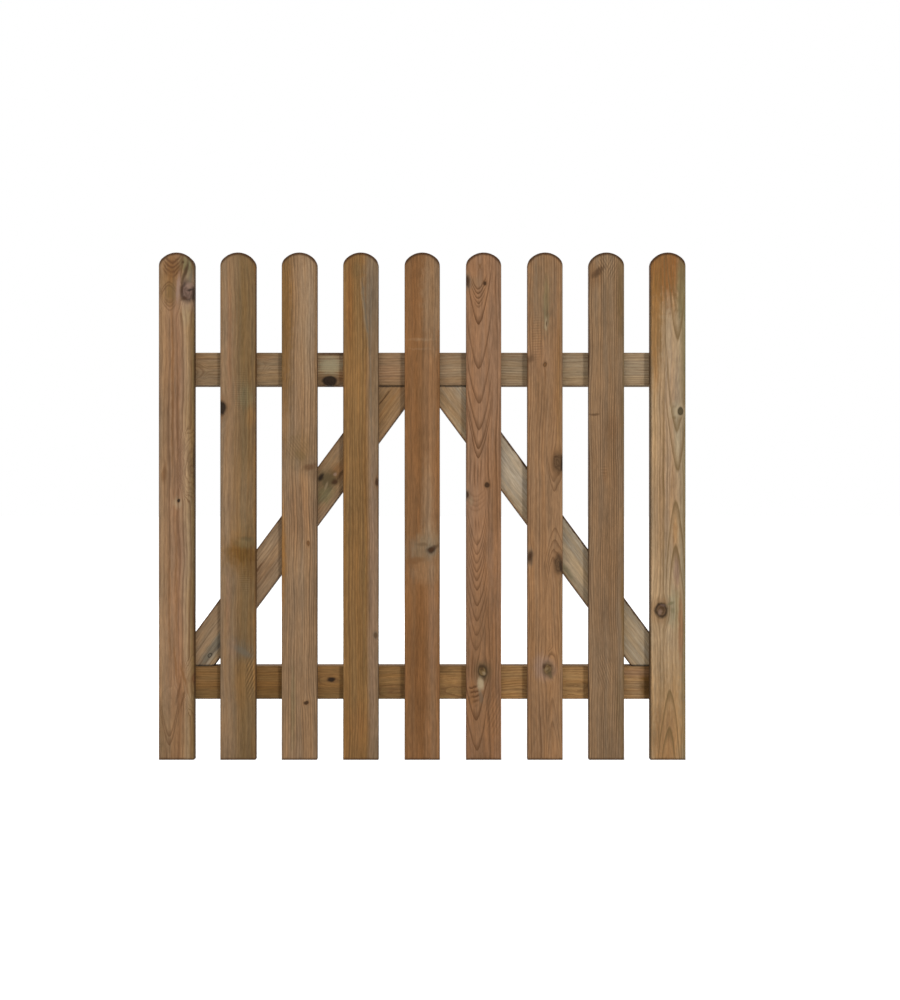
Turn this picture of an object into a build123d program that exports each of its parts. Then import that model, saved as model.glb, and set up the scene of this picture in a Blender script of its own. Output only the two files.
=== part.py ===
from build123d import *
from math import asin, atan2, hypot, sin
import os

# A picket garden gate leaf: round-topped pickets fixed to the front of two rails,
# with two braces between the rails that lean inwards and meet under the top rail.
# Seen from the front, X runs to the right and Z up. The front faces -Y.
# The origin is on the back face of the bottom rail, halfway up it, where the
# lower hinge strap is screwed on.

# Leaf, in millimetres
LEAF_WIDTH = 1000.0
PICKET_COUNT = 9

# Pickets
PICKET_WIDTH = 67.0
PICKET_THICKNESS = 17.0
PICKET_HEIGHT = 963.0
TOP_RISE = 19.0
SHOULDER_RADIUS = 20.0

# Rails, which stop a little short of the outer pickets' edges
RAIL_HEIGHT = 63.0
RAIL_THICKNESS = 30.0
RAIL_SETBACK = 4.0
RAIL_SPACING = 600.0
FOOT_DROP = 143.5

# Braces, as thick as the rails that they stand between
BRACE_WIDTH = 66.0
BRACE_FOOT_INSET = 17.0
APEX_GAP = 6.0

# Planed arris on every long edge. Sawn ends stay sharp.
ARRIS_RADIUS = 2.0

# How far the hinge straps' screws are from the leaf's hinge edge
HINGE_INSET = 120.0

# Places that follow from the sizes
MIDDLE_X = LEAF_WIDTH / 2 - HINGE_INSET
FIRST_PICKET_X = PICKET_WIDTH / 2 - HINGE_INSET
PICKET_PITCH = (LEAF_WIDTH - PICKET_WIDTH) / (PICKET_COUNT - 1)
RAIL_LENGTH = LEAF_WIDTH - 2 * RAIL_SETBACK
RAIL_BACK_Y = 0.0
PICKET_BACK_Y = RAIL_BACK_Y - RAIL_THICKNESS


def plank(outline, back_y, thickness, sawn_axis):
    """A board with this outline in the leaf's plane, eased along all but its sawn ends."""
    drawn = Plane.XZ.offset(-back_y) * outline
    board = extrude(drawn, amount=thickness, dir=(0, -1, 0))
    outline_edges = board.edges().filter_by(Plane.XZ)
    sawn_edges = board.edges().filter_by(sawn_axis)
    return fillet(outline_edges - sawn_edges, ARRIS_RADIUS)


def picket_outline():
    """Straight sides under a crown arc, with round shoulders where the two would meet."""
    half = PICKET_WIDTH / 2
    foot = -FOOT_DROP
    top = foot + PICKET_HEIGHT
    shoulder = top - TOP_RISE
    sides = Polyline((-half, shoulder), (-half, foot), (half, foot), (half, shoulder))
    head = ThreePointArc((half, shoulder), (0, top), (-half, shoulder))
    face = make_face(sides.edges() + head.edges())
    shoulders = face.vertices().filter_by_position(Axis.Y, foot, top, inclusive=(False, False))
    return fillet(shoulders, SHOULDER_RADIUS)


def make_picket(number):
    """One picket, counted from the hinge side, with its back on the rails' fronts."""
    board = plank(picket_outline(), PICKET_BACK_Y, PICKET_THICKNESS, Axis.X)
    return Pos(X=FIRST_PICKET_X + number * PICKET_PITCH) * board


def make_rail(middle_z):
    """One rail across the back of all the pickets."""
    outline = Pos(MIDDLE_X, middle_z) * Rectangle(RAIL_LENGTH, RAIL_HEIGHT)
    return plank(outline, RAIL_BACK_Y, RAIL_THICKNESS, Axis.Z)


def make_brace(side):
    """One brace, from an end of the bottom rail (side -1 or 1) up to the top rail's middle.

    Both ends are cut level to seat on the rails. The lean is the one at which a board of
    this width has its outer corner at the foot and its inner corner at the apex.
    """
    foot_z = RAIL_HEIGHT / 2
    head_z = RAIL_SPACING - RAIL_HEIGHT / 2
    foot_x = LEAF_WIDTH / 2 - BRACE_FOOT_INSET
    apex_x = APEX_GAP / 2
    reach = foot_x - apex_x
    rise = head_z - foot_z
    lean = atan2(rise, reach) + asin(BRACE_WIDTH / hypot(rise, reach))
    seat = BRACE_WIDTH / sin(lean)
    corners = [(foot_x, foot_z), (foot_x - seat, foot_z), (apex_x, head_z), (apex_x + seat, head_z)]
    outline = make_face(Polyline([(MIDDLE_X + side * x, z) for x, z in corners], close=True).edges())
    return plank(outline, RAIL_BACK_Y, RAIL_THICKNESS, Axis.X)


def make_gate():
    """Every board of the leaf by name. Pickets are numbered from the hinge side."""
    boards = {f"picket_{number + 1}": make_picket(number) for number in range(PICKET_COUNT)}
    boards["bottom_rail"] = make_rail(0)
    boards["top_rail"] = make_rail(RAIL_SPACING)
    boards["left_brace"] = make_brace(-1)
    boards["right_brace"] = make_brace(1)
    return boards


os.makedirs("parts", exist_ok=True)
for name, board in make_gate().items():
    export_step(board, f"parts/{name}.step")
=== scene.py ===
from collections import namedtuple
from math import asin, atan2, cos, hypot, pi, radians, sin, tan

import bpy
from mathutils import Euler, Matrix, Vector


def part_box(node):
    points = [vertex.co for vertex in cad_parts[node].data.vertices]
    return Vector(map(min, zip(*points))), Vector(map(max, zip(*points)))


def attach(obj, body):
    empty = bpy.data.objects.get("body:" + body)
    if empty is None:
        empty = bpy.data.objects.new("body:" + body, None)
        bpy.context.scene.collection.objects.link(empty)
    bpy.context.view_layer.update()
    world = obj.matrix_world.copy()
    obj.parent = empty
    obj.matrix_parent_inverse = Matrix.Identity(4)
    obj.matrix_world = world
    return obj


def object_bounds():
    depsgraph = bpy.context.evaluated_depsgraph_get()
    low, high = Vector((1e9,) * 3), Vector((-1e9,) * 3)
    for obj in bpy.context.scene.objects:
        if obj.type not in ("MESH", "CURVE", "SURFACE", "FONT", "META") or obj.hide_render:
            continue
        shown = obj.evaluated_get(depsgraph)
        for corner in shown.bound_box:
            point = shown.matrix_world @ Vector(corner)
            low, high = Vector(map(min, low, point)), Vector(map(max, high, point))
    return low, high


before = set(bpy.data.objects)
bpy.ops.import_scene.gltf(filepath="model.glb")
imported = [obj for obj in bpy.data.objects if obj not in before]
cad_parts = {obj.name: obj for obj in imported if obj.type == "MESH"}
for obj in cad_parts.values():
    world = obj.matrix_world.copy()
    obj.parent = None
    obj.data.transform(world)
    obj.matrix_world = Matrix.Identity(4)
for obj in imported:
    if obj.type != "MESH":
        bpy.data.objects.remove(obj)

cad_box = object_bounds()

# Units. The frame is in metres, and the wood of each board is laid out in millimetres.
MM = 0.001
TO_MM = 1000.0

# Sizes that the boards' boxes don't give
BRACE_WIDTH = 66 * MM
CROWN_RADIUS_MM = 39.0

# Stain and timber tones, as seen on a screen (0 to 255)
TONES = {
    "chalk": (180, 163, 140),
    "beige": (168, 150, 125),
    "khaki": (152, 131, 102),
    "sage": (150, 137, 108),
    "cream": (178, 158, 126),
    "straw": (178, 148, 113),
    "oat": (168, 145, 115),
    "blush": (152, 124, 106),
    "pale tan": (162, 134, 103),
    "tan": (148, 118, 88),
    "rose": (147, 110, 81),
    "amber": (168, 127, 80),
    "cinnamon": (152, 115, 81),
    "russet": (144, 108, 76),
    "grey brown": (138, 111, 83),
    "grey violet": (127, 106, 82),
    "drab": (120, 95, 63),
    "golden": (136, 101, 60),
    "honey": (147, 105, 57),
    "orange": (144, 97, 54),
    "red brown": (130, 92, 58),
    "umber": (118, 82, 50),
    "bronze": (106, 74, 32),
    "olive": (115, 91, 57),
    "moss": (118, 108, 78),
    "slate": (104, 96, 82),
    "plum": (108, 86, 75),
    "earth": (96, 72, 50),
    "loam": (84, 72, 49),
    "walnut": (92, 61, 37),
    "bark": (68, 46, 29),
    "soot": (38, 29, 22),
}


def linear(name):
    """A tone as the linear colour that a shader takes."""
    channels = [channel / 255 for channel in TONES[name]]
    return tuple(((c + 0.055) / 1.055) ** 2.4 for c in channels) + (1.0,)


class Field:
    """A number or colour that varies over a surface. Arithmetic on fields adds Math nodes to their tree."""

    def __init__(self, tree, socket):
        self.tree = tree
        self.socket = socket

    def feed(self, socket):
        """Links the field to a node's input."""
        self.tree.links.new(self.socket, socket)

    def __add__(self, other):
        return math_node(self.tree, "ADD", self, other)

    def __sub__(self, other):
        return math_node(self.tree, "SUBTRACT", self, other)

    def __mul__(self, other):
        return math_node(self.tree, "MULTIPLY", self, other)

    def __truediv__(self, other):
        return math_node(self.tree, "DIVIDE", self, other)

    def __radd__(self, other):
        return math_node(self.tree, "ADD", other, self)

    def __rsub__(self, other):
        return math_node(self.tree, "SUBTRACT", other, self)


def put(socket, value):
    """Links a field to a socket, or sets the socket to a plain value."""
    if isinstance(value, Field):
        value.feed(socket)
    else:
        socket.default_value = value


def math_node(tree, operation, *terms):
    """A Math node's result, from fields and plain numbers."""
    node = tree.nodes.new("ShaderNodeMath")
    node.operation = operation
    for socket, term in zip(node.inputs, terms):
        put(socket, term)
    return Field(tree, node.outputs[0])


def size_of(field):
    """A field without its sign."""
    return math_node(field.tree, "ABSOLUTE", field)


def at_least(field, floor):
    """A field that never falls under a floor."""
    return math_node(field.tree, "MAXIMUM", field, floor)


def length_of(a, b):
    """The length of a step of a one way and b the other."""
    return math_node(a.tree, "SQRT", a * a + b * b)


def fade(field, start, end):
    """0 up to start, 1 from end, and smooth between. With end under start it falls instead."""
    node = field.tree.nodes.new("ShaderNodeMapRange")
    node.interpolation_type = "SMOOTHSTEP"
    falls = end < start
    put(node.inputs["Value"], field)
    node.inputs["From Min"].default_value = min(start, end)
    node.inputs["From Max"].default_value = max(start, end)
    node.inputs["To Min"].default_value = 1.0 if falls else 0.0
    node.inputs["To Max"].default_value = 0.0 if falls else 1.0
    return Field(field.tree, node.outputs["Result"])


def ramp(field, stops):
    """Turns a field into a colour through stops, each a position from 0 to 1 and a colour."""
    node = field.tree.nodes.new("ShaderNodeValToRGB")
    elements = node.color_ramp.elements
    elements.remove(elements[1])
    for number, (position, colour) in enumerate(stops):
        element = elements.new(position) if number else elements[0]
        element.position = position
        element.color = colour
    put(node.inputs[0], field)
    return Field(field.tree, node.outputs["Color"])


def noise(tree, x, y, z, detail=2.0, roughness=0.5):
    """Smooth noise, mostly from -1 to 1, at a place given by three fields or numbers."""
    place = tree.nodes.new("ShaderNodeCombineXYZ")
    for socket, value in zip(place.inputs, (x, y, z)):
        put(socket, value)
    node = tree.nodes.new("ShaderNodeTexNoise")
    tree.links.new(place.outputs[0], node.inputs["Vector"])
    node.inputs["Scale"].default_value = 1.0
    node.inputs["Detail"].default_value = detail
    node.inputs["Roughness"].default_value = roughness
    return (Field(tree, node.outputs["Fac"]) - 0.5) * 4.0


def random_of(field, seed):
    """A number from 0 to 1 for each whole number that a field takes."""
    node = field.tree.nodes.new("ShaderNodeTexWhiteNoise")
    node.noise_dimensions = "2D"
    place = field.tree.nodes.new("ShaderNodeCombineXYZ")
    put(place.inputs[0], field)
    place.inputs[1].default_value = seed
    field.tree.links.new(place.outputs[0], node.inputs["Vector"])
    return Field(field.tree, node.outputs["Value"])


def blend(amount, under, over):
    """A colour that goes from under to over as amount goes from 0 to 1."""
    node = amount.tree.nodes.new("ShaderNodeMix")
    node.data_type = "RGBA"
    put(node.inputs[0], amount)
    put(node.inputs[6], under)
    put(node.inputs[7], over)
    return Field(amount.tree, node.outputs[2])


def times(colour, tint):
    """One colour multiplied by another."""
    node = colour.tree.nodes.new("ShaderNodeMix")
    node.data_type = "RGBA"
    node.blend_type = "MULTIPLY"
    node.inputs[0].default_value = 1.0
    put(node.inputs[6], colour)
    put(node.inputs[7], tint)
    return Field(colour.tree, node.outputs[2])


def shade(colour, brightness):
    """A colour made lighter or darker by a field that is 1 where it stays as it is."""
    grey = colour.tree.nodes.new("ShaderNodeCombineColor")
    for socket in grey.inputs:
        put(socket, brightness)
    return times(colour, Field(colour.tree, grey.outputs[0]))


# What shows on a board. Places are in its own millimetres: across from its middle line, to the
# right as it stands upright, and up from its foot. A tilt is in degrees, to the right at the top.
# Stains, and one painted shadow on the bottom rail, lie under the grain's lines. Smears, such as cracks and
# resin, lie over lines and knots.
StainAndShadow = namedtuple("StainAndShadow", "across up width length tone strength tilt", defaults=(0.6, 0.0))
Smear = namedtuple("Smear", "across up width length tone strength tilt", defaults=(0.6, 0.0))
# A knot's rim is how black its edge is, and soft how far it fades into the wood round it.
Knot = namedtuple("Knot", "across up width length tone rim halo soft", defaults=("soot", 0.6, "umber", 0.3))
# A strip of another tone along one edge: side is -1 for the left one and 1 for the right one.
Strip = namedtuple("Strip", "side width tone strength")
# An eye in the grain, with that many rings in it, that reaches further above or below its middle.
Eye = namedtuple("Eye", "across up width above below rings")
# Nested arches in the grain, with round points at the heights in apexes, that point DOWN or UP. At half
# their width they have climbed by about rise. Thick is their late wood's depth at a point.
Arches = namedtuple("Arches", "across half rise thick points apexes soft strength", defaults=(1.5, 1.0))
# Marks of the planer, or a curl in the grain: lines at that pitch.
Ripple = namedtuple("Ripple", "across up width length pitch tilt strength")

# How a board was sawn from its log. Tones run from its left edge (0) to its right edge (1). The pith
# is that far across and that deep behind the front, and the rings are that far apart. Lines is how
# dark the late wood is, line_tone its tone, and wander how far the grain drifts to a side.
Board = namedtuple("Board", "tones pith ring lines marks wander line_tone", defaults=(3.0, "walnut"))

DOWN = 1
UP = -1

BOARDS = {
    "picket_1": Board(
        tones=((0.0, "grey brown"), (0.12, "tan"), (0.6, "rose"), (0.8, "pale tan"), (1.0, "olive")),
        pith=(-60, 40), ring=6.5, lines=0.7,
        marks=(
            Arches(-5, 10, 7, 6, DOWN, (916, 925, 934, 943), 4.0, 1.4), Eye(-9, 886, 58, 30, 48, 4.6),
            Arches(-9, 13, 14, 6, DOWN, (853, 860, 867), 2.5, 0.8),
            Arches(-10, 10, 9, 5, UP, (901, 907), 2.5), Eye(30, 552, 66, 90, 72, 6.0),
            Eye(-12, 113, 50, 34, 84, 1.6), Eye(35, 146, 52, 60, 74, 4.0),
            Arches(-14, 14, 55, 13, DOWN, (28, 44)),
            StainAndShadow(-9, 915, 54, 110, "golden", 0.6), StainAndShadow(17, 943, 34, 40, "moss", 0.9),
            StainAndShadow(-5, 930, 46, 56, "umber", 0.6), StainAndShadow(-10, 886, 34, 56, "olive", 0.5),
            StainAndShadow(23, 922, 30, 70, "moss", 0.8), StainAndShadow(18, 848, 18, 62, "cream", 0.4),
            StainAndShadow(-7, 690, 6, 420, "red brown", 0.7), StainAndShadow(3, 650, 5, 360, "umber", 0.5),
            StainAndShadow(0, 330, 6, 340, "red brown", 0.6),
            StainAndShadow(-13, 300, 6, 320, "red brown", 0.5), StainAndShadow(-22, 545, 12, 44, "umber", 0.6, 8.0),
            StainAndShadow(26, 562, 16, 66, "bark", 0.4), StainAndShadow(2, 488, 20, 28, "cream", 0.4),
            StainAndShadow(15, 150, 22, 90, "red brown", 0.35), StainAndShadow(0, 50, 90, 170, "drab", 0.35),
            Knot(21, 889, 27, 42, "plum", 0.6, "blush", 0.35), Knot(5, 492, 5, 8),
            Knot(35, 153, 9, 18, "umber", 0.4, "umber", 0.5),
            Smear(-1, 180, 5, 90, "red brown", 0.8, -6.0), Smear(4, 130, 5, 60, "walnut", 0.6, 10.0),
            Smear(14, 158, 5, 70, "red brown", 0.8, -14.0), Smear(11, 112, 5, 50, "walnut", 0.6, 16.0),
            Smear(16, 923, 9, 56, "bark", 0.75, 18.0), Smear(28, 915, 8, 40, "slate", 0.5, 10.0),
            Smear(11, 892, 6, 36, "bark", 0.6), Smear(16, 875, 18, 10, "bark", 0.65, -25.0),
            Smear(-10, 893, 22, 32, "olive", 0.4),
            Smear(25, 901, 16, 16, "blush", 0.6), Smear(26, 891, 14, 6, "soot", 0.75),
            Smear(33, 882, 6, 34, "soot", 0.85), Smear(13, 944, 6, 6, "bark", 0.7),
            Smear(4, 897, 9, 66, "blush", 0.85, 4.0), Smear(33, 560, 4, 120, "soot", 0.6),
            Strip(1, 8, "olive", 0.6),
        ),
    ),
    "picket_2": Board(
        tones=((0.0, "grey brown"), (0.25, "grey brown"), (0.62, "drab"), (0.95, "drab"), (1.0, "golden")),
        pith=(70, 40), ring=5.5, lines=0.42,
        marks=(
            StainAndShadow(-16, 800, 12, 300, "rose", 0.5), StainAndShadow(6, 850, 30, 180, "olive", 0.3),
            StainAndShadow(10, 745, 34, 110, "olive", 0.3), StainAndShadow(16, 689, 36, 60, "moss", 0.5),
            StainAndShadow(24, 650, 22, 50, "golden", 0.5), StainAndShadow(10, 500, 50, 160, "tan", 0.25),
            StainAndShadow(10, 392, 96, 100, "golden", 0.6), StainAndShadow(20, 368, 40, 70, "bronze", 0.4),
            StainAndShadow(7, 393, 64, 52, "bronze", 0.85), StainAndShadow(16, 411, 52, 26, "moss", 0.35),
            StainAndShadow(4, 211, 70, 44, "slate", 0.45, 32.0), StainAndShadow(-10, 212, 22, 40, "rose", 0.4),
            StainAndShadow(-18, 300, 10, 160, "rose", 0.5), StainAndShadow(12, 140, 46, 120, "golden", 0.35),
            Ripple(24, 160, 26, 120, 5.0, -64.0, 0.3), Ripple(6, 700, 50, 120, 4.2, 0.0, 0.07),
            Ripple(14, 342, 34, 60, 4.2, 0.0, 0.1),
            Knot(-32, 668, 20, 28),
            Smear(17, 420, 34, 12, "loam", 0.5, 6.0), Smear(8, 206, 50, 15, "slate", 0.6, 32.0),
        ),
    ),
    "picket_3": Board(
        tones=((0.0, "grey brown"), (0.3, "tan"), (0.8, "tan"), (1.0, "grey brown")),
        pith=(190, 20), ring=4.4, lines=1.0,
        marks=(
            StainAndShadow(-30, 850, 44, 520, "golden", 1.0), StainAndShadow(-30, 880, 26, 320, "bronze", 0.35),
            StainAndShadow(14, 830, 40, 260, "pale tan", 0.45), StainAndShadow(-33, 395, 20, 260, "honey", 0.9),
            StainAndShadow(-2, 588, 76, 84, "olive", 0.45), StainAndShadow(8, 560, 60, 50, "grey violet", 0.5),
            StainAndShadow(2, 470, 80, 160, "russet", 0.6), StainAndShadow(-12, 100, 12, 200, "moss", 0.45),
            Ripple(-4, 590, 60, 70, 5.0, 52.0, 0.1),
            Knot(17, 411, 6, 8, "umber", 0.6, "red brown", 0.5),
            Knot(13, 109, 9, 7, "bark", 0.6, "red brown", 0.4),
            Smear(20, 556, 36, 16, "walnut", 0.65, -20.0), Smear(28, 545, 12, 50, "earth", 0.45),
            Smear(2, 578, 22, 30, "olive", 0.5, -30.0),
        ),
        wander=4.0, line_tone="earth",
    ),
    "picket_4": Board(
        tones=((0.0, "golden"), (0.64, "golden"), (0.76, "grey brown"), (1.0, "grey violet")),
        pith=(170, 25), ring=5.6, lines=0.62,
        marks=(
            StainAndShadow(18, 895, 34, 220, "grey violet", 0.95), StainAndShadow(-8, 930, 34, 40, "olive", 0.5),
            StainAndShadow(-22, 880, 16, 200, "orange", 0.4), StainAndShadow(-4, 60, 40, 120, "orange", 0.35),
            StainAndShadow(24, 330, 22, 640, "blush", 0.35), StainAndShadow(22, 860, 26, 190, "slate", 0.2),
            Knot(28, 237, 6, 9, "earth", 0.4, "slate", 0.6), Knot(31, 527, 7, 14, "bark", 0.5, "umber", 0.5),
            Smear(5, 860, 4, 170, "khaki", 0.4, -6.0), Smear(9, 850, 5, 160, "slate", 0.6, -6.0),
            Smear(19, 690, 5, 220, "slate", 0.4, -1.0),
        ),
    ),
    "picket_5": Board(
        tones=((0.0, "red brown"), (0.5, "red brown"), (0.75, "russet"), (1.0, "red brown")),
        pith=(-140, 30), ring=6.0, lines=0.34,
        marks=(
            StainAndShadow(20, 880, 50, 240, "tan", 0.85), StainAndShadow(0, 797, 66, 7, "pale tan", 0.3),
            StainAndShadow(0, 780, 66, 5, "pale tan", 0.2), StainAndShadow(-16, 640, 30, 400, "umber", 0.3),
            StainAndShadow(10, 480, 26, 230, "tan", 0.6), StainAndShadow(-2, 180, 60, 360, "umber", 0.45),
            StainAndShadow(20, 250, 20, 220, "rose", 0.5), StainAndShadow(4, 401, 90, 58, "grey violet", 0.9, -14.0),
            StainAndShadow(14, 424, 50, 60, "khaki", 0.3), StainAndShadow(8, 358, 70, 56, "tan", 0.5, -14.0),
            Knot(17, 398, 13, 11, "bark", 0.6, "slate", 0.5),
            Smear(20, 401, 32, 12, "bark", 0.75, -28.0), Smear(0, 408, 30, 8, "earth", 0.5, 4.0),
            Smear(-12, 379, 40, 15, "umber", 0.7, -12.0), Smear(-25, 392, 12, 44, "umber", 0.5),
        ),
    ),
    "picket_6": Board(
        tones=((0.0, "rose"), (0.5, "rose"), (1.0, "rose")),
        pith=(-170, 20), ring=6.5, lines=0.95,
        marks=(
            Arches(-10, 9, 12, 5, DOWN, (858, 866, 875, 884, 893)),
            Arches(-10, 15, 50, 17, DOWN, (573, 590, 626, 677, 742, 826)),
            Arches(-15, 11, 7, 5, DOWN, (472, 481, 490, 499), 2.0, 0.3),
            Arches(-13, 11, 34, 10, DOWN, (208, 236, 263, 292, 322, 340, 356, 373, 389, 408), 1.5, 0.85),
            Arches(-22, 11, 3, 5, DOWN, (100, 109, 118, 127, 136), 2.0),
            Arches(-14, 14, 50, 16, DOWN, (18, 75)),
            StainAndShadow(22, 500, 24, 300, "red brown", 0.35), StainAndShadow(-22, 128, 22, 60, "orange", 0.4),
            StainAndShadow(0, 150, 90, 520, "red brown", 0.55), StainAndShadow(-14, 905, 40, 34, "grey violet", 0.35),
            Ripple(20, 90, 44, 130, 6.0, -66.0, 0.12),
            Knot(-31, 908, 9, 20, "bark", 0.4, "slate", 0.6), Knot(2, 905, 6, 8, "bark", 0.6, "umber", 0.5),
            Knot(7, 521, 9, 11, "bark", 0.8, "umber", 0.4), Knot(-32, 503, 6, 14, "bark", 0.4, "slate", 0.5),
            Knot(-2, 168, 20, 25, "olive", 0.85, "loam", 0.35),
            Smear(-3, 173, 10, 13, "bark", 0.7), Smear(1, 164, 9, 9, "khaki", 0.6),
            Smear(-6, 143, 14, 34, "cream", 0.85),
            Smear(-5, 118, 9, 26, "slate", 0.4), Smear(-24, 492, 10, 22, "khaki", 0.4),
            Smear(-7, 936, 4, 20, "umber", 0.6, 28.0), Smear(-7, 934, 4, 20, "umber", 0.5, -28.0),
        ),
    ),
    "picket_7": Board(
        tones=((0.0, "cinnamon"), (0.85, "cinnamon"), (1.0, "tan")),
        pith=(-130, 26), ring=5.0, lines=0.7,
        marks=(
            Arches(19, 10, 44, 12, DOWN, (510, 528)), Arches(20, 11, 36, 9, UP, (384, 400, 418, 440)),
            Eye(13, 184, 30, 36, 44, 1.5), Arches(14, 9, 60, 16, UP, (72, 116), 3.0, 0.6),
            StainAndShadow(-6, 890, 70, 200, "grey violet", 0.65), StainAndShadow(2, 862, 14, 120, "moss", 0.6),
            StainAndShadow(-10, 760, 60, 90, "plum", 0.2), StainAndShadow(-8, 176, 36, 60, "blush", 0.6),
            StainAndShadow(26, 700, 14, 300, "honey", 0.35),
            Ripple(-16, 800, 26, 130, 5.0, 0.0, 0.12),
            Knot(24, 563, 20, 36, "earth", 0.4, "umber", 0.6),
            Knot(25, 372, 16, 34, "earth", 0.5, "umber", 0.55),
            Knot(0, 750, 7, 8, "umber", 0.8, "umber", 0.4), Knot(5, 172, 19, 25, "olive", 0.5, "blush", 0.6),
            Knot(-29, 385, 11, 22, "bark", 0.2, "slate", 0.7),
            Smear(32, 563, 9, 40, "soot", 0.8), Smear(31, 366, 9, 38, "soot", 0.75, -12.0),
            Smear(22, 574, 12, 4, "bark", 0.5, 20.0), Smear(23, 556, 12, 4, "bark", 0.5, -20.0),
            Smear(2, 826, 7, 34, "cream", 0.5), Smear(3, 827, 2.6, 16, "bark", 0.9),
            Smear(0, 733, 4, 40, "umber", 0.6), Smear(-27, 762, 16, 22, "bark", 0.45, 30.0),
            Smear(-1, 177, 9, 11, "bark", 0.75), Smear(10, 162, 9, 24, "loam", 0.6, -24.0),
            Smear(3, 172, 7, 8, "khaki", 0.4), Smear(9, 178, 12, 7, "bark", 0.5, -20.0),
        ),
    ),
    "picket_8": Board(
        tones=((0.0, "tan"), (0.5, "grey brown"), (0.9, "grey brown"), (1.0, "olive")),
        pith=(150, 30), ring=4.0, lines=1.0,
        marks=(
            StainAndShadow(-22, 918, 32, 60, "umber", 0.45), StainAndShadow(26, 880, 14, 200, "olive", 0.6),
            StainAndShadow(-3, 540, 12, 40, "umber", 0.4), StainAndShadow(0, 480, 80, 700, "russet", 0.35),
            StainAndShadow(10, 630, 40, 60, "umber", 0.25), StainAndShadow(24, 100, 16, 160, "olive", 0.4),
            Ripple(-8, 938, 26, 46, 5.0, 60.0, 0.24), Ripple(10, 932, 26, 60, 5.0, -64.0, 0.24),
            Ripple(-5, 550, 20, 40, 6.0, 0.0, 0.12), Ripple(-4, 170, 44, 110, 4.5, 72.0, 0.16),
            Smear(-16, 926, 13, 38, "bark", 0.65, 48.0), Smear(-24, 655, 24, 5, "bark", 0.6),
        ),
        wander=3.5, line_tone="earth",
    ),
    "picket_9": Board(
        tones=((0.0, "khaki"), (0.1, "straw"), (0.65, "straw"), (0.8, "oat"), (1.0, "moss")),
        pith=(-110, 30), ring=5.4, lines=0.85,
        marks=(
            Arches(17, 13, 75, 34, DOWN, (550, 625, 800), 8.0), Arches(2, 16, 90, 26, UP, (60, 130), 6.0),
            Arches(14, 12, 80, 34, UP, (405, 489), 8.0),
            StainAndShadow(-10, 935, 120, 190, "orange", 1.0), StainAndShadow(-24, 830, 34, 300, "honey", 0.8),
            StainAndShadow(-14, 470, 70, 300, "tan", 0.5), StainAndShadow(4, 610, 54, 420, "blush", 0.3),
            StainAndShadow(26, 890, 26, 170, "moss", 0.8), StainAndShadow(17, 610, 15, 150, "cream", 0.7),
            StainAndShadow(14, 430, 12, 80, "amber", 0.5), StainAndShadow(16, 360, 14, 110, "blush", 0.8),
            StainAndShadow(14, 662, 30, 40, "cream", 0.7), StainAndShadow(11, 287, 34, 90, "sage", 0.9),
            StainAndShadow(24, 240, 12, 190, "rose", 0.9), StainAndShadow(0, 60, 90, 320, "amber", 0.6),
            StainAndShadow(-6, 40, 60, 160, "orange", 0.4),
            Knot(23, 662, 11, 16, "loam", 0.6, "cream", 0.3), Smear(15.5, 662, 7, 18, "cream", 0.8),
            Smear(12, 649, 9, 8, "olive", 0.45), Smear(11, 671, 8, 8, "olive", 0.35),
            Knot(-13, 283, 25, 30, "earth", 0.9, "umber", 0.25),
            Smear(-11, 288, 10, 15, "bark", 0.4), Smear(-16, 279, 9, 15, "blush", 0.5, 20.0),
            Smear(-10, 293, 12, 6, "plum", 0.6), Smear(5, 297, 18, 7, "moss", 0.7, -20.0),
            Smear(9, 284, 7, 12, "moss", 0.5),
            Smear(12, 880, 6, 90, "olive", 0.5, -8.0), Strip(-1, 3, "bark", 0.5),
        ),
        wander=3.0, line_tone="olive",
    ),
    "top_rail": Board(
        tones=((0.0, "grey brown"), (0.5, "tan"), (1.0, "grey brown")),
        pith=(150, 30), ring=5.0, lines=0.6,
        marks=(
            StainAndShadow(0, 760, 90, 640, "khaki", 0.75), StainAndShadow(0, 910, 100, 300, "oat", 0.75),
            StainAndShadow(-24, 60, 20, 70, "red brown", 0.4), StainAndShadow(0, 200, 110, 460, "moss", 0.25),
            StainAndShadow(-22, 190, 18, 60, "red brown", 0.4), StainAndShadow(-6, 318, 44, 60, "sage", 0.8),
            StainAndShadow(15, 342, 26, 18, "orange", 0.5), StainAndShadow(8, 430, 40, 70, "rose", 0.35),
            Eye(-6, 170, 50, 40, 30, 3.0), Eye(6, 60, 50, 30, 40, 3.0),
            Knot(23, 318, 20, 27, "soot", 0.6, "bark", 0.22), Smear(-29, 325, 9, 80, "bark", 0.8),
            Smear(-6, 320, 34, 44, "sage", 0.6),
        ),
        wander=4.0,
    ),
    "bottom_rail": Board(
        tones=((0.0, "golden"), (0.5, "golden"), (1.0, "olive")),
        pith=(120, 30), ring=5.0, lines=0.65,
        marks=(
            Eye(-5, 330, 40, 30, 60, 2.5), Eye(16, 450, 60, 40, 100, 3.6), Eye(6, 790, 60, 60, 110, 3.4),
            Eye(16, 570, 60, 60, 100, 3.2),
            StainAndShadow(0, 190, 80, 220, "bronze", 0.4), StainAndShadow(0, 800, 110, 680, "amber", 0.9),
            # The bronze band 926 mm along is painted shadow, where picket 9 shades the rail just left of it.
            StainAndShadow(0, 950, 110, 180, "straw", 0.45), StainAndShadow(0, 926, 100, 32, "bronze", 0.9),
            StainAndShadow(14, 445, 30, 50, "red brown", 0.4), StainAndShadow(-20, 900, 22, 100, "rose", 0.6),
            Knot(-6, 321, 8, 16, "soot", 0.6, "umber", 0.4),
        ),
        wander=4.0,
    ),
    "left_brace": Board(
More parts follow.
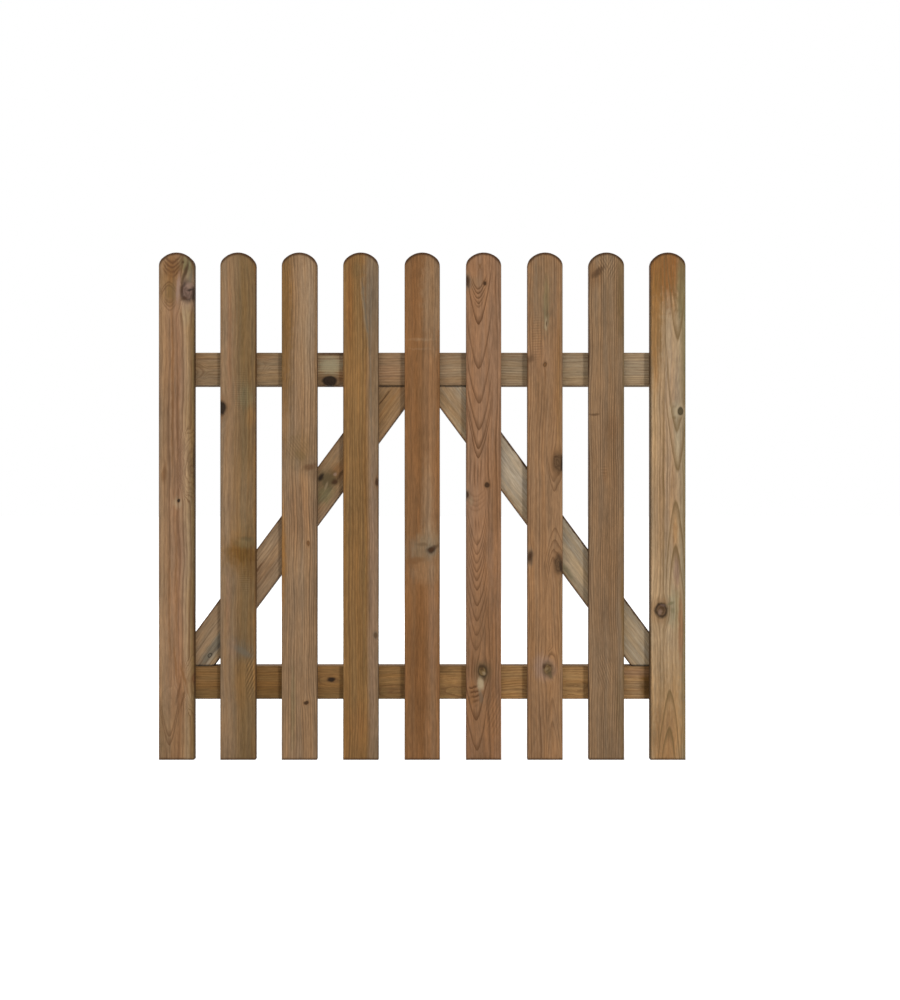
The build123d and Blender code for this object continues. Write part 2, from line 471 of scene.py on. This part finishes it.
        tones=((0.0, "grey brown"), (0.5, "tan"), (1.0, "grey brown")),
        pith=(120, 30), ring=6.0, lines=0.4,
        marks=(
            StainAndShadow(-2, 450, 80, 130, "olive", 0.4), StainAndShadow(15, 62, 30, 170, "slate", 1.0),
            StainAndShadow(9, 416, 40, 54, "moss", 0.9), StainAndShadow(4, 464, 34, 56, "red brown", 0.6),
            StainAndShadow(-8, 60, 50, 170, "khaki", 0.3),
            StainAndShadow(27, 40, 14, 80, "khaki", 0.6), StainAndShadow(0, 600, 80, 190, "golden", 0.65),
            StainAndShadow(0, 250, 80, 220, "pale tan", 0.5), StainAndShadow(4, 225, 34, 90, "red brown", 0.35),
            Knot(16, 38, 8, 11, "slate", 1.0, "slate", 0.3), Smear(-3, 442, 46, 48, "loam", 0.85),
            Smear(-16, 438, 13, 20, "soot", 0.9), Smear(10, 445, 13, 15, "bark", 0.9),
            Smear(10.5, 464, 6, 40, "bark", 0.6), Smear(3, 458, 7, 9, "blush", 0.6),
            Smear(2, 430, 5, 20, "khaki", 0.5, -20.0), Smear(22, 30, 6, 70, "beige", 0.5),
            Smear(-8, 222, 5, 60, "walnut", 0.7, -3.0), Smear(-9, 632, 3.5, 60, "bark", 0.8),
            Strip(-1, 4, "bark", 0.6),
        ),
    ),
    "right_brace": Board(
        tones=((0.0, "oat"), (0.5, "beige"), (1.0, "beige")),
        pith=(120, 30), ring=6.0, lines=0.32,
        marks=(
            StainAndShadow(-10, 640, 60, 160, "honey", 0.45), StainAndShadow(-26, 250, 16, 70, "moss", 0.6),
            StainAndShadow(-26, 430, 12, 60, "olive", 0.4), StainAndShadow(6, 150, 60, 260, "oat", 0.8),
            StainAndShadow(0, 470, 90, 170, "chalk", 0.8),
            Strip(1, 5, "bark", 0.95), Strip(-1, 4, "umber", 0.6),
        ),
        wander=3.0, line_tone="olive",
    ),
}


def brace_lean(node):
    """How far a brace leans from upright, from its box and its width."""
    low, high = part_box(node)
    run = high.x - low.x
    rise = high.z - low.z
    return pi / 2 - (atan2(rise, run) + asin(BRACE_WIDTH / hypot(run, rise)))


# Where a board is: the middle of its foot on its front face, how far it leans to the right from
# upright, its width, and how high its level-cut head is over its foot
Place = namedtuple("Place", "foot lean width height")


def board_place(node):
    """The place of a picket, a rail, which lies with its foot to the left, or a brace."""
    low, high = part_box(node)
    middle = (low + high) / 2
    height = high.z - low.z
    if node.startswith("picket"):
        return Place(Vector((middle.x, low.y, low.z)), 0.0, high.x - low.x, height)
    if node.endswith("rail"):
        return Place(Vector((low.x, low.y, middle.z)), pi / 2, height, height)
    lean = brace_lean(node)
    seat = BRACE_WIDTH / cos(lean)
    if node == "left_brace":
        return Place(Vector((low.x + seat / 2, low.y, low.z)), lean, BRACE_WIDTH, height)
    return Place(Vector((high.x - seat / 2, low.y, low.z)), -lean, BRACE_WIDTH, height)


# A board's own millimetres as fields: across it, up it from its foot and out of its front face.
# Wander is the slow drift of its grain, rough the unevenness of outlines, and mark_across and
# mark_up the same place pushed about a little, so that no mark is a plain ellipse.
Face = namedtuple("Face", "tree seed across up out wander rough mark_across mark_up")


def board_face(tree, place, seed):
    """Lays out a board's own millimetres. Noise is scaled per millimetre, finer across than up."""
    where = tree.nodes.new("ShaderNodeTexCoord")
    turn = tree.nodes.new("ShaderNodeMapping")
    angles = Euler((-pi / 2, 0.0, place.lean))
    turn.inputs["Scale"].default_value = (TO_MM, TO_MM, TO_MM)
    turn.inputs["Rotation"].default_value = angles
    turn.inputs["Location"].default_value = -(angles.to_matrix() @ (place.foot * TO_MM))
    tree.links.new(where.outputs["Object"], turn.inputs["Vector"])
    split = tree.nodes.new("ShaderNodeSeparateXYZ")
    tree.links.new(turn.outputs["Vector"], split.inputs[0])
    across, up, out = [Field(tree, socket) for socket in split.outputs]
    wander = noise(tree, across * 0.012, up * 0.005, seed)
    rough = noise(tree, across * 0.16, up * 0.09, out * 0.1 + seed, 3.0, 0.6) * 0.2
    mark_across = across + noise(tree, across * 0.08, up * 0.045, seed + 21.0) * 1.3
    mark_up = up + noise(tree, across * 0.08, up * 0.045, seed + 27.0) * 2.0
    return Face(tree, seed, across, up, out, wander, rough, mark_across, mark_up)


def facing(tree, direction):
    """How far the surface faces along a direction, either way: 1 where it does, 0 where it is side on."""
    geometry = tree.nodes.new("ShaderNodeNewGeometry")
    dot = tree.nodes.new("ShaderNodeVectorMath")
    dot.operation = "DOT_PRODUCT"
    tree.links.new(geometry.outputs["Normal"], dot.inputs[0])
    dot.inputs[1].default_value = direction
    return size_of(Field(tree, dot.outputs["Value"]))


def distance_from(mark, face, tilt=0.0, rough=1.0):
    """0 at a mark's middle and 1 at its outline, which is as uneven as rough says."""
    side = face.mark_across - mark.across
    along = face.mark_up - mark.up
    if tilt:
        turn = radians(tilt)
        side, along = side * cos(turn) - along * sin(turn), side * sin(turn) + along * cos(turn)
    return length_of(side * (2 / mark.width), along * (2 / mark.length)) + face.rough * rough


def grain_flow(face, board, knots):
    """The place across the board by its grain, which wanders slowly and parts round each knot."""
    flow = face.across + face.wander * board.wander
    for knot in knots:
        side = (face.across - knot.across) * (2 / knot.width)
        along = (face.up - knot.up) * (1.1 / knot.length)
        flow = flow - (face.across - knot.across) / at_least(side * side + along * along, 1.0) * 0.6
    return flow


def ring_in_eye(eye, board, face):
    """The ring number inside an eye of the grain, and how far the eye rules there."""
    side = (face.across - eye.across) * (2 / eye.width)
    along = face.up - eye.up
    over = at_least(along, 0.0) * (1 / eye.above)
    under = at_least(along * -1.0, 0.0) * (1 / eye.below)
    bend = (face.mark_across - face.across) * 0.06
    distance = length_of(side, over + under) + bend + face.rough * 0.2
    middle = hypot(eye.across - board.pith[0], board.pith[1]) / board.ring
    return middle + (1.0 - distance) * eye.rings, fade(distance, 1.0, 0.55)


def arch_lines(arches, face, flow):
    """The late wood of nested arches, dark at each point and thin along its arms, and how far they rule."""
    blunt = 0.3  # how round the points are, as a share of half the arches' width
    side = (flow - arches.across) * (1 / arches.half)
    climb = (length_of(side, blunt) - blunt + side * side) * (0.5 * arches.rise)
    level = face.up * arches.points - climb + face.rough * 7.0
    apexes = sorted(apex * arches.points for apex in arches.apexes)
    soft = arches.soft
    start = apexes[0] - 2 * soft
    span = apexes[-1] + arches.thick + soft - start
    stops = []
    for apex, following in zip(apexes, apexes[1:] + [start + span]):
        end = min(apex + arches.thick, following - 1.2 * soft)
        stops += [(apex - soft, 0.0), (apex, 1.0), (end, 0.0)]
    lines = ramp((level - start) * (1 / span), [((x - start) / span, (v, v, v, 1.0)) for x, v in stops])
    ends = fade(level, start - 25.0, start) * fade(level, start + span + 25.0, start + span)
    return lines, ends * fade(size_of(side), 2.0, 1.2)


def late_wood(face, board, flow, eyes, nests):
    """How much late wood there is, from 0 to 1: growth rings about the pith, eyes and arches."""
    tree, seed = face.tree, face.seed
    radius = length_of(flow - board.pith[0], face.out + board.pith[1])
    ring = radius * (1 / board.ring) + noise(tree, radius * 0.05, face.up * 0.0008, seed + 2.0) * 0.7
    ring = ring + noise(tree, face.across * 0.03, face.up * 0.006, seed + 3.0, 3.0) * 0.3
    for eye in eyes:
        inside, rule = ring_in_eye(eye, board, face)
        ring = ring + (inside - ring) * rule
    # Within a ring the wood darkens slowly and then stops short, and no two rings are as dark
    count = math_node(tree, "FLOOR", ring)
    part = ring - count
    late = fade(part, 0.35, 0.9) * fade(part, 1.0, 0.93)
    late = late * (random_of(count, seed) * 0.6 + 0.4)
    late = late * fade(noise(tree, face.across * 0.02, face.up * 0.006, seed + 13.0), -1.5, 0.3)
    for nest in nests:
        lines, rule = arch_lines(nest, face, flow)
        late = late + (lines * nest.strength - late) * rule
    return late * (noise(tree, face.across * 0.02, face.up * 0.012, seed + 11.0) * 0.25 + 0.9)


def draw_knot(colour, knot, face):
    """A knot with its own rings and a dark rim, and a shade into the wood round it."""
    spread = distance_from(knot, face, rough=0.4)
    hoops = math_node(face.tree, "SINE", spread * 15.0 + face.rough * 10.0) * 0.2 + 0.95
    rim = fade(spread, 0.45, 0.9) * knot.rim
    core = shade(blend(rim, linear(knot.tone), linear("soot")), hoops)
    colour = blend(fade(spread, 2.3, 0.9) * 0.4, colour, linear(knot.halo))
    return blend(fade(spread, 1.0 + knot.soft, 1.0 - knot.soft) * 0.95, colour, core)


def draw_faded_mark(colour, smear, face):
    """A smear, a stain or a painted shadow, which fades out towards its outline."""
    spread = fade(distance_from(smear, face, smear.tilt), 1.2, 0.3)
    return blend(spread * smear.strength, colour, linear(smear.tone))


# How far from a cut its darkening has faded out, and how far it is still full, in millimetres. At a picket's
# foot and crown it is stain; at a brace's foot and head it is painted shade in its seam with a rail.
PICKET_FOOT_STAIN = (5.5, 1.0)
CROWN_STAIN = (7.0, 2.5)
BRACE_FOOT_SHADE = (5.0, 1.5)
BRACE_HEAD_SHADE = (4.5, 1.5)
# The crown's stain begins and is full this far over the middle of the crown's arc
CROWN_STAIN_RISE = (6.0, 24.0)
# How dark the sides and the end grain are
SIDE_STAIN = 0.5
RAIL_SIDE_STAIN = 0.12
END_STAIN = 0.35


def stain_edges_and_shade_seams(colour, node, face, place):
    """Eased edges, sawn sides and ends take up more stain than the planed front. Painted shade darkens the
    seams where a brace's foot and head meet the rails.
    """
    tree = face.tree
    side_stain = RAIL_SIDE_STAIN if node.endswith("rail") else SIDE_STAIN
    colour = blend(fade(facing(tree, (0.0, 1.0, 0.0)), 0.95, 0.4) * side_stain, colour, linear("bark"))
    end = facing(tree, (sin(place.lean), 0.0, cos(place.lean)))
    colour = blend(fade(end, 0.35, 0.95) * END_STAIN, colour, linear("bark"))
    if node.endswith("rail"):
        return colour
    rise = face.up * cos(place.lean) - face.across * sin(place.lean) + face.rough * 5.0
    top = place.height * TO_MM
    # Painted shade in the seams at a brace's foot and head, where it meets the rails
    if node.endswith("brace"):
        colour = blend(fade(rise, *BRACE_FOOT_SHADE) * 0.85, colour, linear("soot"))
        head = fade(rise, *[top - reach for reach in BRACE_HEAD_SHADE])
        return blend(head * 0.85, colour, linear("soot"))
    colour = blend(fade(rise, *PICKET_FOOT_STAIN) * 0.75, colour, linear("bark"))
    over = at_least(face.up - (top - CROWN_RADIUS_MM), 0.0)
    margin = CROWN_RADIUS_MM - length_of(face.across, over) + face.rough * 4.0
    rim = fade(margin, *CROWN_STAIN) * fade(over, *CROWN_STAIN_RISE)
    return blend(rim * 0.9, colour, linear("bark"))


# The finish of the planed and stained wood. A colour is multiplied by a tint, cool in some streaks and
# warm in others.
COOL_TINT = (0.93, 1.0, 1.09, 1.0)
WARM_TINT = (1.06, 1.0, 0.90, 1.0)
WOOD_ROUGHNESS = 0.85
LATE_WOOD_SHEEN = 0.15
WOOD_SPECULAR = 0.1
GRAIN_BUMP = 0.5
GRAIN_DEPTH = 0.3 * MM


def board_material(node, board, seed):
    """The wood of one board: its tones and stains, the grain over them, then its knots and edges."""
    material = bpy.data.materials.new(node + "_wood")
    material.use_nodes = True
    tree = material.node_tree
    shader = tree.nodes["Principled BSDF"]
    place = board_place(node)
    face = board_face(tree, place, seed)
    across, up, out = face.across, face.up, face.out

    def marks(kind):
        return [mark for mark in board.marks if isinstance(mark, kind)]

    flow = grain_flow(face, board, marks(Knot))
    late = late_wood(face, board, flow, marks(Eye), marks(Arches))

    # Fibres: fine lengthwise streaks, broader bands, and slow changes of brightness
    band = noise(tree, flow * 0.055, up * 0.0025, seed + 4.0)
    streak = noise(tree, flow * 0.22, up * 0.008, seed + 5.0, 2.0, 0.6)
    fibre = noise(tree, flow * 0.5, up * 0.055, out * 0.5 + seed, 2.0, 0.6)
    cloud = noise(tree, across * 0.03, up * 0.012, seed + 7.0)

    half = place.width * TO_MM / 2
    colour = ramp((flow + cloud * 2.5) * (0.5 / half) + 0.5, [(at, linear(tone)) for at, tone in board.tones])
    # Stains, and the painted shadow on the bottom rail
    for stain in marks(StainAndShadow):
        colour = draw_faded_mark(colour, stain, face)
    for strip in marks(Strip):
        reach = across * strip.side + face.rough * 6.0
        edge = fade(reach, half - strip.width, half - 0.4 * strip.width)
        colour = blend(edge * strip.strength, colour, linear(strip.tone))
    warmth = fade(noise(tree, flow * 0.09, up * 0.003, seed + 9.0) + cloud * 0.4, -1.3, 1.3)
    colour = times(colour, blend(warmth, COOL_TINT, WARM_TINT))
    colour = shade(colour, band * 0.10 + streak * 0.18 + fibre * 0.2 + cloud * 0.09 + 0.99)
    colour = blend(late * board.lines, colour, linear(board.line_tone))

    height = late * 0.5 + fibre * 0.25
    for ripple in marks(Ripple):
        turn = radians(ripple.tilt)
        step = (up * cos(turn) + across * sin(turn)) * (2 * pi / ripple.pitch)
        wave = math_node(tree, "SINE", step + face.wander * 2.0) * fade(distance_from(ripple, face), 1.0, 0.3)
        colour = shade(colour, wave * ripple.strength + 1.0)
        height = height + wave * 0.5
    for knot in marks(Knot):
        colour = draw_knot(colour, knot, face)
    for smear in marks(Smear):
        colour = draw_faded_mark(colour, smear, face)
    colour = stain_edges_and_shade_seams(colour, node, face, place)

    put(shader.inputs["Base Color"], colour)
    put(shader.inputs["Roughness"], WOOD_ROUGHNESS - late * LATE_WOOD_SHEEN)
    shader.inputs["Specular IOR Level"].default_value = WOOD_SPECULAR
    bump = tree.nodes.new("ShaderNodeBump")
    bump.inputs["Strength"].default_value = GRAIN_BUMP
    bump.inputs["Distance"].default_value = GRAIN_DEPTH
    put(bump.inputs["Height"], height)
    tree.links.new(bump.outputs["Normal"], shader.inputs["Normal"])
    return material


# Each board's noise has a seed of its own, far from the next one's
FIRST_SEED = 1.7
SEED_STEP = 10.0

for number, (node, board) in enumerate(BOARDS.items()):
    wood = board_material(node, board, SEED_STEP * number + FIRST_SEED)
    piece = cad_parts[node]
    piece.data.materials.clear()
    piece.data.materials.append(wood)


# Screws through the backs of the rails and braces into the pickets
SCREW_HEAD_RADIUS = 4.6 * MM
SCREW_SHANK_RADIUS = 2.07 * MM
SCREW_HEAD_DEPTH = 3.2 * MM
SCREW_PROUD = 0.3 * MM
RECESS_LENGTH = 5.0 * MM
RECESS_WIDTH = 1.1 * MM
RECESS_DEPTH = 1.8 * MM
SCREW_STEP_ASIDE = 14 * MM
SCREW_STEP_UP = 13 * MM
SCREW_SIDES = 24
SCREW_SEED = 7
BRIGHT_STEEL = (0.52, 0.42, 0.22, 1.0)
DULL_STEEL = (0.30, 0.25, 0.17, 1.0)


def screw_places():
    """Two screws for each picket on each rail, and one where each brace crosses a whole picket."""
    places = []
    pickets = sorted(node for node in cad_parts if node.startswith("picket"))
    middles = [(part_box(node)[0].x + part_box(node)[1].x) / 2 for node in pickets]
    for rail in ("bottom_rail", "top_rail"):
        low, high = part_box(rail)
        for x in middles:
            for way in (-1, 1):
                z = (low.z + high.z) / 2 - way * SCREW_STEP_UP
                places.append((x + way * SCREW_STEP_ASIDE, high.y, z))
    for brace in ("left_brace", "right_brace"):
        low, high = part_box(brace)
        place = board_place(brace)
        for x in middles:
            z = place.foot.z + (x - place.foot.x) / tan(place.lean)
            if low.z + BRACE_WIDTH < z < high.z - BRACE_WIDTH:
                places.append((x, high.y, z))
    return places


def screw_steel():
    """Yellow-passivated steel, a little uneven."""
    material = bpy.data.materials.new("screw_steel")
    material.use_nodes = True
    tree = material.node_tree
    shader = tree.nodes["Principled BSDF"]
    where = tree.nodes.new("ShaderNodeTexCoord")
    split = tree.nodes.new("ShaderNodeSeparateXYZ")
    tree.links.new(where.outputs["Object"], split.inputs[0])
    x, y, z = [Field(tree, socket) * TO_MM for socket in split.outputs]
    tarnish = fade(noise(tree, x * 0.3, y * 0.3, z * 0.3, 4.0), -1.0, 1.2)
    put(shader.inputs["Base Color"], blend(tarnish, BRIGHT_STEEL, DULL_STEEL))
    put(shader.inputs["Roughness"], tarnish * 0.3 + 0.32)
    shader.inputs["Metallic"].default_value = 1.0
    return material


def screw_tree(steel):
    """Countersunk heads with a cross recess, one on each point of a mesh, facing backwards."""
    tree = bpy.data.node_groups.new("back_screws", "GeometryNodeTree")
    nodes, link = tree.nodes, tree.links.new
    tree.interface.new_socket("Points", in_out="INPUT", socket_type="NodeSocketGeometry")
    sizes = ("Head Radius", "Shank Radius", "Head Depth", "Recess Length", "Recess Width", "Recess Depth")
    for name in sizes:
        tree.interface.new_socket(name, in_out="INPUT", socket_type="NodeSocketFloat")
    tree.interface.new_socket("Seed", in_out="INPUT", socket_type="NodeSocketInt")
    tree.interface.new_socket("Screws", in_out="OUTPUT", socket_type="NodeSocketGeometry")
    given = nodes.new("NodeGroupInput").outputs
    result = nodes.new("NodeGroupOutput").inputs

    head = nodes.new("GeometryNodeMeshCone")
    head.inputs["Vertices"].default_value = SCREW_SIDES
    link(given["Shank Radius"], head.inputs["Radius Bottom"])
    link(given["Head Radius"], head.inputs["Radius Top"])
    link(given["Head Depth"], head.inputs["Depth"])

    # Two crossed slots, each with its middle on the head's face, so twice as tall as the recess is deep
    cut = nodes.new("GeometryNodeMeshBoolean")
    cut.operation = "DIFFERENCE"
    link(head.outputs["Mesh"], cut.inputs["Mesh 1"])
    depth = nodes.new("ShaderNodeMath")
    depth.operation = "MULTIPLY"
    depth.inputs[1].default_value = 2.0
    link(given["Recess Depth"], depth.inputs[0])
    for along, aside in (("Recess Length", "Recess Width"), ("Recess Width", "Recess Length")):
        size = nodes.new("ShaderNodeCombineXYZ")
        link(given[along], size.inputs["X"])
        link(given[aside], size.inputs["Y"])
        link(depth.outputs[0], size.inputs["Z"])
        slot = nodes.new("GeometryNodeMeshCube")
        link(size.outputs[0], slot.inputs["Size"])
        lift = nodes.new("ShaderNodeCombineXYZ")
        link(given["Head Depth"], lift.inputs["Z"])
        place = nodes.new("GeometryNodeTransform")
        link(slot.outputs["Mesh"], place.inputs["Geometry"])
        link(lift.outputs[0], place.inputs["Translation"])
        link(place.outputs["Geometry"], cut.inputs["Mesh 2"])

    # Each head is driven home at its own turn, up to a radian round
    spin = nodes.new("FunctionNodeRandomValue")
    spin.data_type = "FLOAT"
    link(given["Seed"], spin.inputs["Seed"])
    turn = nodes.new("ShaderNodeCombineXYZ")
    turn.inputs["X"].default_value = -pi / 2
    link(spin.outputs[1], turn.inputs["Y"])
    spread = nodes.new("GeometryNodeInstanceOnPoints")
    link(given["Points"], spread.inputs["Points"])
    link(cut.outputs["Mesh"], spread.inputs["Instance"])
    link(turn.outputs[0], spread.inputs["Rotation"])
    real = nodes.new("GeometryNodeRealizeInstances")
    link(spread.outputs["Instances"], real.inputs["Geometry"])
    finish = nodes.new("GeometryNodeSetMaterial")
    finish.inputs["Material"].default_value = steel
    link(real.outputs["Geometry"], finish.inputs["Geometry"])
    link(finish.outputs["Geometry"], result["Screws"])
    return tree


def make_screws():
    """All the screws as one mesh, with their heads a little proud of the wood."""
    sunk = Vector((0.0, SCREW_PROUD - SCREW_HEAD_DEPTH, 0.0))
    points = bpy.data.meshes.new("screw_points")
    points.from_pydata([Vector(place) + sunk for place in screw_places()], [], [])
    screws = bpy.data.objects.new("back_screws", points)
    bpy.context.scene.collection.objects.link(screws)
    modifier = screws.modifiers.new("screws", "NODES")
    modifier.node_group = screw_tree(screw_steel())
    sizes = {
        "Head Radius": SCREW_HEAD_RADIUS, "Shank Radius": SCREW_SHANK_RADIUS,
        "Head Depth": SCREW_HEAD_DEPTH, "Recess Length": RECESS_LENGTH,
        "Recess Width": RECESS_WIDTH, "Recess Depth": RECESS_DEPTH, "Seed": SCREW_SEED,
    }
    for socket in modifier.node_group.interface.items_tree:
        if socket.name in sizes:
            modifier[socket.identifier] = sizes[socket.name]
    dressed = screws.evaluated_get(bpy.context.evaluated_depsgraph_get())
    mesh = bpy.data.meshes.new_from_object(dressed)
    screws.modifiers.clear()
    screws.data = mesh
    return screws


back_screws = make_screws()
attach(back_screws, "root")


# Stage: a white floor at the pickets' feet that keeps a pale shadow
FLOOR_HALF = 30.0
FLOOR_WHITE = (0.9, 0.9, 0.9, 1.0)
FLOOR_GLOW_NEAR = 0.66
FLOOR_GLOW_FAR = 0.75
FLOOR_GLOW_RISE = (0.8, 3.0)
low, high = cad_box
corners = ((-1, -1), (1, -1), (1, 1), (-1, 1))
floor_mesh = bpy.data.meshes.new("floor")
floor_mesh.from_pydata([(x * FLOOR_HALF, y * FLOOR_HALF, low.z) for x, y in corners], [], [(0, 1, 2, 3)])
floor = bpy.data.objects.new("floor", floor_mesh)
bpy.context.scene.collection.objects.link(floor)


def seen_directly(tree):
    """1 for rays from the camera and for mirrored and bent ones, 0 for the light that rays carry."""
    path = tree.nodes.new("ShaderNodeLightPath")
    kinds = ("Is Camera Ray", "Is Glossy Ray", "Is Transmission Ray")
    camera_ray, glossy_ray, bent_ray = [Field(tree, path.outputs[kind]) for kind in kinds]
    return math_node(tree, "MINIMUM", camera_ray + glossy_ray + bent_ray, 1.0)


def floor_material():
    """White to the eye. Its own glow rises with the distance, where the lamps reach it less."""
    material = bpy.data.materials.new("floor_white")
    material.use_nodes = True
    tree = material.node_tree
    shader = tree.nodes["Principled BSDF"]
    shader.inputs["Base Color"].default_value = FLOOR_WHITE
    shader.inputs["Roughness"].default_value = 1.0
    shader.inputs["Specular IOR Level"].default_value = 0.0
    shader.inputs["Emission Color"].default_value = (1.0, 1.0, 1.0, 1.0)
    where = tree.nodes.new("ShaderNodeTexCoord")
    split = tree.nodes.new("ShaderNodeSeparateXYZ")
    tree.links.new(where.outputs["Object"], split.inputs[0])
    away = length_of(Field(tree, split.outputs["X"]), Field(tree, split.outputs["Y"]))
    glow = fade(away, *FLOOR_GLOW_RISE) * (FLOOR_GLOW_FAR - FLOOR_GLOW_NEAR) + FLOOR_GLOW_NEAR
    put(shader.inputs["Emission Strength"], seen_directly(tree) * glow)
    return material


floor.data.materials.append(floor_material())

# Light: a pale room, a soft key from the front right, a weaker fill from high on the front left,
# and one for the back. Places are in metres from the gate's middle.
WORLD_LIGHT = 0.36
KEY_FROM = Vector((1.4, -2.4, 0.4))
KEY_STRENGTH = 1.3
KEY_ANGLE = radians(9)
PANEL_SIZE = 2.4
PANELS = {
    "fill_light": (Vector((-0.8, -2.0, 2.0)), 26.0),
    "back_light": (Vector((-1.0, 2.4, 1.4)), 40.0),
}
world = bpy.data.worlds.new("studio")
bpy.context.scene.world = world
world.use_nodes = True
sky = world.node_tree.nodes["Background"]
sky.inputs["Color"].default_value = (1.0, 1.0, 1.0, 1.0)
put(sky.inputs["Strength"], seen_directly(world.node_tree) * (1.0 - WORLD_LIGHT) + WORLD_LIGHT)


def aim_light(lamp, place, target):
    """Puts a lamp at a place and turns it towards its target."""
    light = bpy.data.objects.new(lamp.name, lamp)
    light.location = place
    light.rotation_euler = (target - place).to_track_quat("-Z", "Y").to_euler()
    bpy.context.scene.collection.objects.link(light)


middle = (low + high) / 2
key = bpy.data.lights.new("key_light", "SUN")
key.energy = KEY_STRENGTH
key.angle = KEY_ANGLE
aim_light(key, middle + KEY_FROM, middle)
for name, (stand, watts) in PANELS.items():
    panel = bpy.data.lights.new(name, "AREA")
    panel.shape = "DISK"
    panel.size = PANEL_SIZE
    panel.energy = watts
    aim_light(panel, middle + stand, middle)

# Camera, square on and a little right of the middle. Its lens and sensor are in millimetres.
CAMERA_LENS = 38.9
CAMERA_SENSOR = 36.0
CAMERA_DISTANCE = 2.05
CAMERA_RIGHT = 0.0528
CAMERA_HEIGHT = 0.4930
camera_data = bpy.data.cameras.new("camera")
camera_data.lens = CAMERA_LENS
camera_data.sensor_width = CAMERA_SENSOR
camera = bpy.data.objects.new("camera", camera_data)
camera.location = (middle.x + CAMERA_RIGHT, low.y - CAMERA_DISTANCE, low.z + CAMERA_HEIGHT)
camera.rotation_euler = (pi / 2, 0.0, 0.0)
bpy.context.scene.collection.objects.link(camera)
bpy.context.scene.camera = camera
bpy.context.scene.view_settings.view_transform = "Standard"
